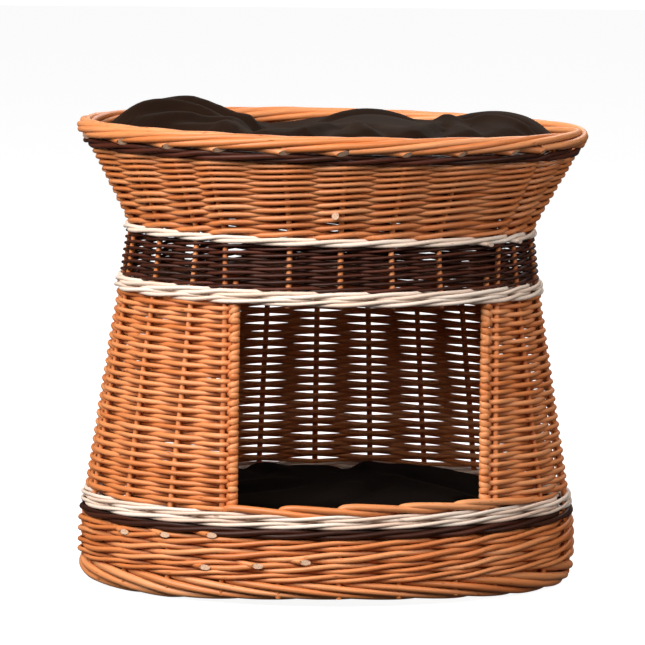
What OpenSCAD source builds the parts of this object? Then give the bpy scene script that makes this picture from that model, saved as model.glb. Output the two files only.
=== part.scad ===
// Two-storey wicker pet bed: an oval den with a doorway, and an open bed on its roof.
// +Z is up, +X runs along the oval, the doorway faces -Y, and z = 0 is what the foot stands on.

/* [Oval] */
// Half width of the outside at the foot
base_half_w = 270; // [258:1:282]
// Half width of the outside at the narrow waist
waist_half_w = 223; // [214:1:232]
// Half width of the outside of the rim
rim_half_w = 278; // [268:1:288]
// Distance of each end arc's centre from the middle of the oval
end_x = 108; // [100:1:116]

/* [Heights of the woven bands, from the foot up] */
// Foot border
foot_h = 28; // [24:1:32]
// Heavy twined band over the foot
base_wale_h = 45; // [40:1:50]
// Dark band of the base
base_dark_h = 11; // [9:1:14]
// White band of the base
base_white_h = 15; // [12:1:17]
// Wall of the den
den_wall_h = 218; // [200:1:230]
// White band over the doorway
lintel_band_h = 14; // [12:1:18]
// Dark band round the waist
waist_band_h = 49; // [44:1:54]
// Thin white band over the dark one
upper_white_h = 7; // [6:1:10]
// Flared wall of the open bed
bed_wall_h = 83; // [76:1:90]
// Dark band under the rim
rim_dark_h = 11; // [8:1:14]
// Rolled rim border
rim_h = 19; // [16:1:22]

/* [Doorway] */
// Doorway's left edge, left of the middle
door_left = 93; // [84:1:96]
// Doorway's right edge, right of the middle
door_right = 162; // [150:1:164]
// Height of the border along the sill
sill_h = 12; // [10:1:16]
// Radius of the posts in the two jambs
post_r = 3.2; // [2.8:0.1:3.6]

/* [Rods] */
// Thickness of the woven wall
wall_t = 12; // [10:1:13]
// Number of stakes round the wall
stake_count = 22; // [22:1:22]
// Radius of a stake
stake_r = 3; // [2.5:0.1:3.5]
// Radius of a floor stick
stick_r = 4; // [3:0.1:4.5]
// Thickness of both woven floors
floor_t = 12; // [10:1:14]

/* [Cushions] */
// Height of the den's cushion
den_cushion_h = 62; // [50:1:70]
// Height of the bed's cushion
bed_cushion_h = 104; // [90:1:108]
// Thickness of a cushion's cover
cover_t = 1.5; // [1:0.1:3]
// Gap between a cushion and the wicker
gap = 0.5; // [0.4:0.1:2]

/* [Hidden] */
$fn = 96;

// Top of each band
z_foot = foot_h;
z_wale = z_foot + base_wale_h;
z_base_dark = z_wale + base_dark_h;
z_base_white = z_base_dark + base_white_h;
z_den_wall = z_base_white + den_wall_h;
z_lintel = z_den_wall + lintel_band_h;
z_waist = z_lintel + waist_band_h;
z_upper_white = z_waist + upper_white_h;
z_bed_wall = z_upper_white + bed_wall_h;
z_rim_dark = z_bed_wall + rim_dark_h;
z_floor = 20;
z_bed_floor = z_upper_white + 21;

// The oval has four arcs, and their centres stand on the corners of 3-4-5 triangles
long_y = end_x * 3 / 4;
long_gain = end_x / 4;
arcs_differ = end_x * 5 / 4;
tall = 600;
function snap(v) = round(v * 100) / 100;
end_sweep = 2 * atan(3 / 4);
long_sweep = 180 - end_sweep;

// Outside half width of the wall at each height: upright base, sloping den, waist, flared bed
wall_line = [
    [0, base_half_w],
    [z_foot + 32, base_half_w],
    [z_base_white, base_half_w - 4],
    [z_den_wall, waist_half_w + 9],
    [z_lintel, waist_half_w + 7],
    [z_waist, waist_half_w + 0.5],
    [z_upper_white, waist_half_w],
    [z_upper_white + 10, waist_half_w + 4],
    [z_rim_dark, rim_half_w - 6]
];
function wall_a(z) = lookup(z, wall_line);

// A band's profile as [half width, height] points, following the wall between two heights
function kinks(low, high) = [for (p = wall_line) if (p[0] > low + 1 && p[0] < high - 1) p[0]];
function levels(low, high) = concat([low], kinks(low, high), [high]);
function band_profile(low, high, proud = 0) = let (up = levels(low, high), n = len(up)) concat(
    [for (z = up) [wall_a(z) + proud, z]],
    [for (i = [1:n]) [wall_a(up[n - i]) - wall_t, up[n - i]]]);

// A band of round rods laid one on the other: each row bulges from the wall
row_bulge = 2;
function rows_profile(low, high, rows, proud = 0) = let (step = (high - low) / rows) concat(
    [for (i = [0:rows - 1], f = [0, 0.3, 0.7]) let (z = low + (i + f) * step)
        [wall_a(z) + proud - (f == 0 ? row_bulge : 0), z]],
    [[wall_a(high) + proud - row_bulge, high], [wall_a(high) - wall_t, high],
        [wall_a(low) - wall_t, low]]);

// Each arc's share of the oval is a wedge with its point on the arc's centre
wedge_len = 150;
module end_share() {
    far = [end_x + 4 * wedge_len, 3 * wedge_len];
    linear_extrude(tall) polygon([[end_x, 0], [far[0], -far[1]], [far[0], far[1]]]);
}
module long_share() {
    far = [4 * wedge_len, long_y - 3 * wedge_len];
    linear_extrude(tall) polygon([[0, long_y], [-far[0], far[1]], [far[0], far[1]]]);
}

// Turns a profile of [half width, height] points round one arc, or round all four
module end_arc(points) {
    intersection() {
        translate([end_x, 0, 0])
            rotate_extrude() polygon([for (p = points) [snap(max(0, p[0] - end_x)), snap(p[1])]]);
        end_share();
    }
}
module long_arc(points) {
    intersection() {
        translate([0, long_y, 0])
            rotate_extrude()
                polygon([for (p = points) [p[0] > 0 ? snap(p[0] - end_x) + arcs_differ : 0, snap(p[1])]]);
        long_share();
    }
}
module around(points) {
    for (turn = [0, 180])
        rotate([0, 0, turn]) {
            end_arc(points);
            long_arc(points);
        }
}

// A ring of round section
module ring(half_w, z, r) {
    for (turn = [0, 180])
        rotate([0, 0, turn]) {
            intersection() {
                translate([end_x, 0, z]) rotate_extrude() translate([half_w - end_x, 0]) circle(r);
                end_share();
            }
            intersection() {
                translate([0, long_y, z])
                    rotate_extrude() translate([half_w + long_gain, 0]) circle(r);
                long_share();
            }
        }
}

// A straight round stick between two points
module stick(p, q, r) {
    d = q - p;
    translate(p)
        rotate([0, acos(d[2] / norm(d)), atan2(d[1], d[0])])
            cylinder(r = r, h = norm(d));
}

// A round rod through several points: its straight lengths run a little past each bend
past_bend = 1;
module bent_rod(points, r) {
    last = len(points) - 2;
    for (i = [0:last]) {
        run = points[i + 1] - points[i];
        extra = past_bend * run / norm(run);
        start = i > 0 ? points[i] - extra : points[i];
        end = i < last ? points[i + 1] + extra : points[i + 1];
        stick(start, end, r);
    }
}

// Stakes stand evenly along the waist. A seat is [arc centre x, y, angle, radius gain]
radian = 180 / PI;
waist_mid = waist_half_w - wall_t / 2;
long_half = (waist_mid + long_gain) * long_sweep / 2 / radian;
end_len = (waist_mid - end_x) * end_sweep / radian;
loop_len = 4 * long_half + 2 * end_len;
function front_seat(s) = [0, long_y, s / (waist_mid + long_gain) * radian - 90, long_gain];
function end_seat(s) = [end_x, 0, s / (waist_mid - end_x) * radian - end_sweep / 2, -end_x];
function turned(seat) = [-seat[0], -seat[1], seat[2] + 180, seat[3]];
function half_seat(s) = s < long_half ? front_seat(s)
    : s < long_half + end_len ? end_seat(s - long_half)
    : turned(front_seat(s - 2 * long_half - end_len));
function seat_at(s) = s < loop_len / 2 ? half_seat(s) : turned(half_seat(s - loop_len / 2));

// Stake numbers: the doorway cuts 0, 1, 2 and the last one
stake_start = 11.6;
stake_pitch = loop_len / stake_count;
door_numbers = [0, 1, 2, stake_count - 1];
function stake_seat(k) = seat_at(stake_start + k * stake_pitch);

// A stake bends over the base and at the waist. It is drawn from one height to another
stake_bends = [z_wale, z_upper_white - 3];
function stake_levels(low, high) =
    concat([low], [for (z = stake_bends) if (z > low && z < high) z], [high]);
module stake(seat, low, high) {
    translate([seat[0], seat[1], 0])
        rotate([0, 0, seat[2]])
            bent_rod([for (z = stake_levels(low, high)) [wall_a(z) - wall_t / 2 + seat[3], 0, z]],
                stake_r);
}

// Each jamb post has a stake beside it, which doesn't fan out until it is over the waist
post_cover = 2.8;
left_post_x = -door_left - post_cover - post_r;
right_post_x = door_right + post_cover + post_r;
beside_post = 10.5;
beside_left = stake_count - 2;
beside_right = 3;
module stake_beside(x) {
    bent_rod([for (z = stake_levels(stake_low, stake_high)) let (
            reach = wall_a(z) - wall_t / 2 + long_gain,
            turn = asin(x / (wall_a(min(z, stake_bends[1])) - wall_t / 2 + long_gain)))
        [reach * sin(turn), long_y - reach * cos(turn), z]], stake_r);
}
stake_low = 8;
stake_high = z_rim_dark + rim_h / 2;

module foot_border() {
    top_in = base_half_w - wall_t - 6;
    color("peru")
        around([[top_in + 4, 0], [base_half_w - 5, 0], [base_half_w + 1, 7],
            [base_half_w + 1, z_foot - 7], [base_half_w - 2, z_foot], [top_in + 2, z_foot],
            [top_in, z_foot - 8], [top_in, 8]]);
}

// Oval floor: sticks one way and the other, with the mat woven round them
function oval_y(x, half_w) = sqrt(pow(half_w + long_gain, 2) - x * x) - long_y;
module floor_grid(half_w, z, xs, ys) {
    for (x = xs)
        stick([x, -oval_y(x, half_w), z], [x, oval_y(x, half_w), z], stick_r);
    for (y = ys) {
        reach = end_x + sqrt(pow(half_w - end_x, 2) - y * y);
        stick([-reach, y, z], [reach, y, z], stick_r);
    }
}
module oval_plate(half_w, low, high) {
    around([[0, low], [half_w, low], [half_w, high], [0, high]]);
}

floor_half_w = base_half_w - wall_t - 6;
stick_ends_in = 3;
cross_sticks = [-150, -90, -30, 30, 90, 150];
long_sticks = [-36, 0, 36];
module floor_sticks() {
    color("sienna")
        floor_grid(floor_half_w - stick_ends_in, z_floor + floor_t / 2, cross_sticks, long_sticks);
}
module floor_mat() {
    color("tan") oval_plate(floor_half_w, z_floor, z_floor + floor_t);
}

module wall_stakes() {
    color("chocolate")
        for (k = [0:stake_count - 1])
            if (k == beside_left) stake_beside(left_post_x - beside_post);
            else if (k == beside_right) stake_beside(right_post_x + beside_post);
            else if (len(search(k, door_numbers)) == 0) stake(stake_seat(k), stake_low, stake_high);
}

// The stakes that the doorway interrupts: a stub under the sill and a stake over the lintel
stub_below_lintel = 3;
module door_stakes() {
    color("chocolate")
        for (k = door_numbers) {
            stake(stake_seat(k), stake_low, z_base_white + sill_h / 2);
            stake(stake_seat(k), z_den_wall - stub_below_lintel, stake_high);
        }
}

module base_wale() {
    color("peru") around(rows_profile(z_foot, z_wale, 4));
}
module base_dark_band() {
    color("saddlebrown") around(rows_profile(z_wale, z_base_dark, 2));
}
module base_white_band() {
    color("antiquewhite") around(rows_profile(z_base_dark, z_base_white, 2, 1));
}

// The sill's border fills the foot of the doorway, from jamb to jamb
sill_proud = 1;
module door_sill_border() {
    color("peru")
        intersection() {
            long_arc([[wall_a(z_base_white) - wall_t, z_base_white],
                [wall_a(z_base_white) + sill_proud, z_base_white],
                [wall_a(z_base_white) + sill_proud, z_base_white + sill_h * 0.6],
                [wall_a(z_base_white) - 3, z_base_white + sill_h],
                [wall_a(z_base_white) - wall_t + 2, z_base_white + sill_h],
                [wall_a(z_base_white) - wall_t, z_base_white + sill_h - 3]]);
            doorway();
        }
}

module doorway() {
    translate([-door_left, -base_half_w, z_base_white - 1])
        cube([door_left + door_right, base_half_w, den_wall_h + 2]);
}

module den_wall() {
    color("peru")
        difference() {
            around(band_profile(z_base_white, z_den_wall));
            doorway();
        }
}

// Jamb post: a straight stick in the wall's edge, leaning in with the wall
post_low = z_base_white - 9;
post_high = z_lintel + 18;
module door_post(x) {
    color("chocolate")
        stick([x, -oval_y(x, wall_a(post_low) - wall_t / 2), post_low],
            [x, -oval_y(x, wall_a(post_high) - wall_t / 2), post_high], post_r);
}
module door_post_left() door_post(left_post_x);
module door_post_right() door_post(right_post_x);

module lintel_white_band() {
    color("antiquewhite") around(rows_profile(z_den_wall, z_lintel, 2, 2));
}
module waist_dark_band() {
    color("saddlebrown") around(band_profile(z_lintel, z_waist));
}
module upper_white_band() {
    color("antiquewhite") around(rows_profile(z_waist, z_upper_white, 1, 1));
}

// The bed's floor wedges in the flare; its middle stick runs out through both walls
bed_half_w = wall_a(z_bed_floor) - wall_t;
through_stick_x = 5;
bed_cross_sticks = [-120, -60, 60, 120];
bed_long_sticks = [-30, 30];
module bed_floor_sticks() {
    z = z_bed_floor + floor_t / 2;
    out = oval_y(through_stick_x, wall_a(z)) + 1;
    color("sienna") {
        floor_grid(bed_half_w - stick_ends_in, z, bed_cross_sticks, bed_long_sticks);
        stick([through_stick_x, -out, z], [through_stick_x, out, z], stick_r);
    }
}
module bed_floor_mat() {
    color("tan") oval_plate(bed_half_w, z_bed_floor, z_bed_floor + floor_t);
}

module bed_wall() {
    color("peru") around(band_profile(z_upper_white, z_bed_wall));
}
module rim_dark_band() {
    color("saddlebrown") around(rows_profile(z_bed_wall, z_rim_dark, 2, 1));
}
module rim_border() {
    color("peru") ring(rim_half_w - rim_h / 2, z_rim_dark + rim_h / 2, rim_h / 2);
}

// A stuffed cushion: flat below, its side leaning out with the wall, and rounded off over its edge.
// "skin" moves the whole outline inwards
crown_in = end_x + long_gain + 2;
function cushion_profile(low, height, foot_w, side_w, skin) = [
    [0, low + skin],
    [foot_w - 10 - skin, low + skin],
    [foot_w - skin, low + 8 + skin],
    [side_w - skin, low + height * 0.62],
    [side_w - 2 - skin, low + height * 0.75],
    [side_w - 16 - skin, low + height * 0.89 - skin],
    [side_w - 48 - skin, low + height * 0.97 - skin],
    [crown_in, low + height - skin],
    [0, low + height - skin]];
filling_gap = 0.3;
module cushion_cover(low, height, foot_w, side_w) {
    color("saddlebrown")
        difference() {
            around(cushion_profile(low, height, foot_w, side_w, 0));
            around(cushion_profile(low, height, foot_w, side_w, cover_t));
        }
}
module cushion_filling(low, height, foot_w, side_w) {
    color("ivory")
        around(cushion_profile(low, height, foot_w, side_w, cover_t + filling_gap));
}

z_den_cushion = z_floor + floor_t + gap;
den_cushion_w = floor_half_w - 8;
module den_cushion_cover() {
    cushion_cover(z_den_cushion, den_cushion_h, den_cushion_w - 4, den_cushion_w);
}
module den_cushion_filling() {
    cushion_filling(z_den_cushion, den_cushion_h, den_cushion_w - 4, den_cushion_w);
}

z_bed_cushion = z_bed_floor + floor_t + gap;
bed_cushion_foot_w = bed_half_w - 4;
bed_cushion_side_w = rim_half_w - rim_h - 9;
module bed_cushion_cover() {
    cushion_cover(z_bed_cushion, bed_cushion_h, bed_cushion_foot_w, bed_cushion_side_w);
}
module bed_cushion_filling() {
    cushion_filling(z_bed_cushion, bed_cushion_h, bed_cushion_foot_w, bed_cushion_side_w);
}

foot_border();
floor_sticks();
floor_mat();
wall_stakes();
door_stakes();
base_wale();
base_dark_band();
base_white_band();
door_sill_border();
den_wall();
door_post_left();
door_post_right();
lintel_white_band();
waist_dark_band();
upper_white_band();
bed_floor_sticks();
bed_floor_mat();
bed_wall();
rim_dark_band();
rim_border();
den_cushion_cover();
den_cushion_filling();
bed_cushion_cover();
bed_cushion_filling();
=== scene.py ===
"""Looks of the two-storey wicker pet bed: every willow rod, and the two soft cushions, round the
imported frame.

Everything is in metres. +Z is up, +X runs along the oval and the doorway faces -Y.
A place on the wall is given by its beat (how many stakes round the oval, counted from the
front middle), its height, and its depth from the middle of the wall, outwards.
"""

import math

import bpy
import numpy as np
from mathutils import Euler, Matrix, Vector


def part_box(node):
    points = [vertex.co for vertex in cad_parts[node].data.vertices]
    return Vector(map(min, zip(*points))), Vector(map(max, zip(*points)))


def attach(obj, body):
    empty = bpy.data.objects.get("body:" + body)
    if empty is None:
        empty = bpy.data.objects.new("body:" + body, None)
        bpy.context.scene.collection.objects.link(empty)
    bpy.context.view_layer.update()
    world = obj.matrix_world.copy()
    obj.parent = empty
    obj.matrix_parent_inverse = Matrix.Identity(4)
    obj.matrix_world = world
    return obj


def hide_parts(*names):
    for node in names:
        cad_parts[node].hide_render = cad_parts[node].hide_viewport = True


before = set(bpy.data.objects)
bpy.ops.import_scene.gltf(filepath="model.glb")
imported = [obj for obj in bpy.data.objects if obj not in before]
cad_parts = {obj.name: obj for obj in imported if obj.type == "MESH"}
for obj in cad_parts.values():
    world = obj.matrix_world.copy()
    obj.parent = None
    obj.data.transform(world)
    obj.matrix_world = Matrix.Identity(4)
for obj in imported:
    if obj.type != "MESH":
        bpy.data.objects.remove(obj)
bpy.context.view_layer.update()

RNG = np.random.default_rng(7)
TAU = 2 * math.pi


# ---------------------------------------------------------------- sizes, from the frame
def top_of(node):
    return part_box(node)[1][2]


def half_width(node):
    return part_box(node)[1][0]


def middle_x(node):
    low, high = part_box(node)
    return (low[0] + high[0]) / 2


Z_FOOT = top_of("foot_border")
Z_WALE = top_of("base_wale")
Z_BASE_DARK = top_of("base_dark_band")
Z_BASE_WHITE = top_of("base_white_band")
Z_DEN = top_of("den_wall")
Z_LINTEL = top_of("lintel_white_band")
Z_WAIST = top_of("waist_dark_band")
Z_UPPER_WHITE = top_of("upper_white_band")
Z_BED = top_of("bed_wall")
Z_RIM_DARK = top_of("rim_dark_band")
Z_RIM = top_of("rim_border")

RIM_W = half_width("rim_border")
BASE_W = half_width("base_wale")
WAIST_W = half_width("waist_dark_band") - 0.007
# Four arcs make the oval: their centres stand END_X out along X and LONG_Y out along Y
END_X = 2 * (RIM_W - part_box("rim_border")[1][1])
LONG_Y = END_X * 3 / 4
LONG_GAIN = END_X / 4
END_HALF = math.atan2(3, 4)
LONG_HALF = math.pi / 2 - END_HALF

STAKE_R = 0.0031
POST_R = 0.0032
MID = 0.0078
STAKE_OUT = 0.0023
STAKES = 22
FIRST_STAKE = 0.0116
WAIST_MID = WAIST_W - 0.006
LONG_LEN = 2 * (WAIST_MID + LONG_GAIN) * LONG_HALF
END_LEN = 2 * (WAIST_MID - END_X) * END_HALF
LOOP = 2 * (LONG_LEN + END_LEN)
PITCH = LOOP / STAKES

# The doorway's jamb posts take the places of stakes 2 and 21 below the lintel
POST_X = {"left": middle_x("door_post_left"), "right": middle_x("door_post_right")}
RIGHT_BEAT, LEFT_BEAT = 2, STAKES - 1
# A stake beside each post keeps its distance from it up to the waist
BESIDE = {STAKES - 2: POST_X["left"] - 0.0105, 3: POST_X["right"] + 0.0105}


# ---------------------------------------------------------------- the oval and the wall
def smooth_profile():
    """Outside half width of the wall against height, with its bends rounded."""
    heights = [-0.05, 0, Z_FOOT + 0.032, Z_BASE_WHITE, Z_DEN, Z_LINTEL, Z_WAIST, Z_UPPER_WHITE,
               Z_UPPER_WHITE + 0.010, Z_RIM_DARK, Z_RIM_DARK + 0.06]
    widths = [BASE_W, BASE_W, BASE_W, BASE_W - 0.004, WAIST_W + 0.009, WAIST_W + 0.007,
              WAIST_W + 0.0005, WAIST_W, WAIST_W + 0.004, RIM_W - 0.006, RIM_W + 0.026]
    z = np.arange(-0.03, 0.53, 0.001)
    a = np.interp(z, heights, widths)
    kernel = np.hanning(19)
    return z, np.convolve(np.pad(a, 9, mode="edge"), kernel / kernel.sum(), mode="valid")


PROFILE_Z, PROFILE_A = smooth_profile()


def wall_width(z):
    return np.interp(z, PROFILE_Z, PROFILE_A)


def outline(turn, half_w):
    """Points and outward normals of the oval. turn is the distance round the waist, in stake pitches."""
    turn, half_w = np.broadcast_arrays(np.asarray(turn, float), np.asarray(half_w, float))
    s = (FIRST_STAKE + turn * PITCH) % LOOP
    back = s >= LOOP / 2
    s = np.where(back, s - LOOP / 2, s)
    half = LONG_LEN / 2
    on_end = (s >= half) & (s < half + END_LEN)
    past = s >= half + END_LEN
    long_s = np.where(past, s - LONG_LEN - END_LEN, s)
    angle = np.where(on_end, (s - half) / (WAIST_MID - END_X) - END_HALF,
                     long_s / (WAIST_MID + LONG_GAIN) - math.pi / 2)
    flip = np.where(back, -1.0, 1.0) * np.where(past, -1.0, 1.0)
    reach = np.where(on_end, half_w - END_X, half_w + LONG_GAIN)
    nx, ny = np.cos(angle) * flip, np.sin(angle) * flip
    points = np.stack([np.where(on_end, END_X, 0.0) * flip + reach * nx,
                       np.where(on_end, 0.0, LONG_Y) * flip + reach * ny], -1)
    return points, np.stack([nx, ny], -1)


def oval_width(x, y):
    """The half width of the oval that passes through a point."""
    x, y = np.abs(x), np.abs(y)
    on_end = y < (x - END_X) * 0.75
    return np.where(on_end, END_X + np.hypot(x - END_X, y), np.hypot(x, y + LONG_Y) - LONG_GAIN)


def turn_at(x, z):
    """Where a front place with this x stands round the oval, at a height."""
    angle = np.arcsin(x / (wall_width(z) - MID + LONG_GAIN))
    return (angle * (WAIST_MID + LONG_GAIN) - FIRST_STAKE) / PITCH


def stake_turn(k, z):
    lap, k = k // STAKES, k % STAKES
    if k not in BESIDE:
        return k + lap * STAKES
    turn = turn_at(BESIDE[k], min(z, Z_WAIST + 0.004))
    return turn + (STAKES if BESIDE[k] < 0 else 0) + lap * STAKES


def turn_of(beat, z):
    """Beats are whole numbers at the stakes, which don't stand quite evenly."""
    beats = np.arange(math.floor(np.min(beat)) - 1, math.ceil(np.max(beat)) + 2)
    return np.interp(beat, beats, [stake_turn(int(k), z) for k in beats])


def wall_point(turn, z, depth):
    """Points on the wall, and the level outward directions there."""
    turn, z, depth = np.broadcast_arrays(*(np.asarray(v, float) for v in (turn, z, depth)))
    flat, normal = outline(turn, wall_width(z) - MID + depth)
    points = np.concatenate([flat, z[..., None]], -1)
    return points, np.concatenate([normal, np.zeros_like(z)[..., None]], -1)


def settle(points):
    """The top of the basket leans a little to the right, as a handmade one does."""
    share = np.clip((points[:, 2] - Z_BASE_WHITE) / (Z_RIM - Z_BASE_WHITE), 0, 1)
    settled = points.copy()
    settled[:, 0] += 0.0040 * share**2
    settled[:, 2] -= 0.016 * share * points[:, 0]
    return settled


def wander(x, size, length):
    """A smooth random line through x: a rod is never quite true."""
    total = np.zeros_like(x, float)
    for octave in range(3):
        wave = length / (1.7**octave)
        total += np.sin(x / wave * TAU + RNG.uniform(0, TAU)) * RNG.uniform(0.4, 1) / (octave + 1)
    return total * size / 1.5


# ---------------------------------------------------------------- rods as meshes
class Bundle:
    """Gathers round rods into one mesh, with the attributes that the willow materials read."""

    def __init__(self, name, node, slot, material, sides=8):
        self.name, self.node, self.slot, self.material, self.sides = name, node, slot, material, sides
        self.verts, self.faces, self.grain, self.tone, self.cut = [], [], [], [], []
        self.count = 0

    def _add(self, verts, faces, grain, tone, cut):
        self.verts.append(verts)
        self.faces.append(faces + self.count)
        self.grain.append(grain)
        self.tone.append(np.full(len(verts), tone))
        self.cut.append(np.broadcast_to(cut, (len(verts),)))
        self.count += len(verts)

    def rod(self, path, facing, radius, flat=1.0, closed=False, looks=(None, None), slant=1.0):
        """Sweeps a round section along a path. flat squashes it along the facing direction. looks are the
        directions that an oblique cut at the start and at the end looks towards."""
        path = np.asarray(path, float)
        n, k = len(path), self.sides
        radius, flat = (np.broadcast_to(np.asarray(v, float), (n,)) for v in (radius, flat))
        if closed:
            along = np.roll(path, -1, 0) - np.roll(path, 1, 0)
        else:
            along = np.gradient(path, axis=0)
        along /= np.linalg.norm(along, axis=1, keepdims=True)
        side = np.cross(along, facing)
        side /= np.linalg.norm(side, axis=1, keepdims=True)
        out = np.cross(side, along)
        turn = np.arange(k) / k * TAU
        ring = (out[:, None] * (np.cos(turn)[None, :, None] * flat[:, None, None])
                + side[:, None] * np.sin(turn)[None, :, None]) * radius[:, None, None]
        for index, sign, look in ((0, -1, looks[0]), (n - 1, 1, looks[1])):
            if look is not None:
                ring[index] -= sign * slant * along[index] * (ring[index] @ np.asarray(look))[:, None]
        verts = path[:, None] + ring
        length = np.concatenate([[0], np.cumsum(np.linalg.norm(np.diff(path, axis=0), axis=1))])
        tone = RNG.uniform()
        shift = RNG.uniform(0, 50, 3)
        grain = np.empty((n, k, 3))
        grain[..., 0] = length[:, None] + shift[0]
        grain[..., 1] = np.cos(turn) * radius[:, None] + shift[1]
        grain[..., 2] = np.sin(turn) * radius[:, None] + shift[2]
        rows = np.arange(n if closed else n - 1)[:, None]
        i = np.arange(k)[None, :]
        j = (i + 1) % k
        following = (rows + 1) % n
        faces = np.stack([rows * k + i, rows * k + j, following * k + j, following * k + i], -1)
        self._add(verts.reshape(-1, 3), faces.reshape(-1, 4), grain.reshape(-1, 3), tone, 0.0)
        if not closed:
            self._cap(verts[0], radius[0], shift, tone, True)
            self._cap(verts[-1], radius[-1], shift, tone, False)

    def _cap(self, rim, radius, shift, tone, first):
        """A cut end, with a ring of bark and pith inside it."""
        k = len(rim)
        middle = rim.mean(0)
        cap = np.concatenate([rim, middle + (rim - middle) * 0.45, middle[None]])
        i = np.arange(k)
        j = (i + 1) % k
        quads = np.stack([i, j, k + j, k + i], -1)
        fan = np.stack([k + i, k + j, np.full(k, 2 * k), np.full(k, -1)], -1)
        if first:
            quads, fan = quads[:, ::-1], fan[:, [1, 0, 2, 3]]
        faces = np.concatenate([quads, np.where(fan < 0, -1 - self.count, fan)])
        self._add(cap, faces, (cap - middle) / radius * 0.003 + shift, tone,
                  np.concatenate([np.full(k, 0.7), np.full(k, 0.85), [1.0]]))

    def build(self):
        verts, faces = settle(np.concatenate(self.verts)), np.concatenate(self.faces)
        is_fan = faces[:, 3] < 0
        plain, fan = faces[~is_fan], faces[is_fan][:, :3]
        loops = np.concatenate([plain.reshape(-1), fan.reshape(-1)])
        sizes = np.concatenate([np.full(len(plain), 4), np.full(len(fan), 3)])
        mesh = bpy.data.meshes.new(self.name)
        mesh.vertices.add(len(verts))
        mesh.vertices.foreach_set("co", verts.reshape(-1))
        mesh.loops.add(len(loops))
        mesh.loops.foreach_set("vertex_index", loops.astype(np.int32))
        mesh.polygons.add(len(sizes))
        mesh.polygons.foreach_set("loop_start", (np.cumsum(sizes) - sizes).astype(np.int32))
        mesh.update(calc_edges=True)
        mesh.polygons.foreach_set("use_smooth", np.ones(len(sizes), bool))
        grain = mesh.attributes.new("grain", "FLOAT_VECTOR", "POINT")
        grain.data.foreach_set("vector", np.concatenate(self.grain).reshape(-1))
        for label, values in (("tone", self.tone), ("cut", self.cut)):
            attribute = mesh.attributes.new(label, "FLOAT", "POINT")
            attribute.data.foreach_set("value", np.concatenate(values))
        return show(self.name, mesh, self.material, "basket", self.slot, self.node)


def show(name, mesh, material, body, slot, *nodes):
    """Puts a mesh in the scene in place of its CAD nodes."""
    mesh.materials.append(material)
    piece = bpy.data.objects.new(name, mesh)
    bpy.context.scene.collection.objects.link(piece)
    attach(piece, body)
    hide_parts(*nodes)
    return piece


# ---------------------------------------------------------------- materials
def nodes_of(name):
    material = bpy.data.materials.new(name)
    material.use_nodes = True
    tree = material.node_tree
    return material, tree, tree.nodes["Principled BSDF"]


def add(tree, kind, **values):
    node = tree.nodes.new(kind)
    for key, value in values.items():
        setattr(node, key, value)
    return node


def mapped(tree, source, scale):
    """A texture position: the source vector with each axis scaled."""
    node = add(tree, "ShaderNodeVectorMath", operation="MULTIPLY")
    node.inputs[1].default_value = scale
    tree.links.new(source, node.inputs[0])
    return node.outputs[0]


def noise(tree, vector, scale, detail=2.0, rough=0.5):
    node = add(tree, "ShaderNodeTexNoise")
    node.inputs["Scale"].default_value = scale
    node.inputs["Detail"].default_value = detail
    node.inputs["Roughness"].default_value = rough
    tree.links.new(vector, node.inputs["Vector"])
    return node.outputs["Fac"]


def ramp(tree, source, stops):
    node = add(tree, "ShaderNodeValToRGB")
    points = node.color_ramp.elements
    while len(points) < len(stops):
        points.new(0.5)
    for point, (at, colour) in zip(points, stops):
        point.position = at
        point.color = (*colour, 1) if len(colour) == 3 else colour
    tree.links.new(source, node.inputs["Fac"])
    return node.outputs["Color"]


def mix(tree, factor, a, b, blend="MIX"):
    node = add(tree, "ShaderNodeMix", data_type="RGBA", blend_type=blend)
    for value, socket in ((factor, node.inputs["Factor"]), (a, node.inputs["A"]), (b, node.inputs["B"])):
        if isinstance(value, bpy.types.NodeSocket):
            tree.links.new(value, socket)
        elif isinstance(value, (int, float)):
            socket.default_value = value
        else:
            socket.default_value = (*value, 1)
    return node.outputs["Result"]


def maths(tree, operation, a, b=None, clamp=False):
    node = add(tree, "ShaderNodeMath", operation=operation, use_clamp=clamp)
    for value, socket in ((a, node.inputs[0]), (b, node.inputs[1])):
        if value is None:
            continue
        if isinstance(value, bpy.types.NodeSocket):
            tree.links.new(value, socket)
        else:
            socket.default_value = value
    return node.outputs[0]


def attribute(tree, name, output):
    return add(tree, "ShaderNodeAttribute", attribute_name=name).outputs[output]


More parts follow.
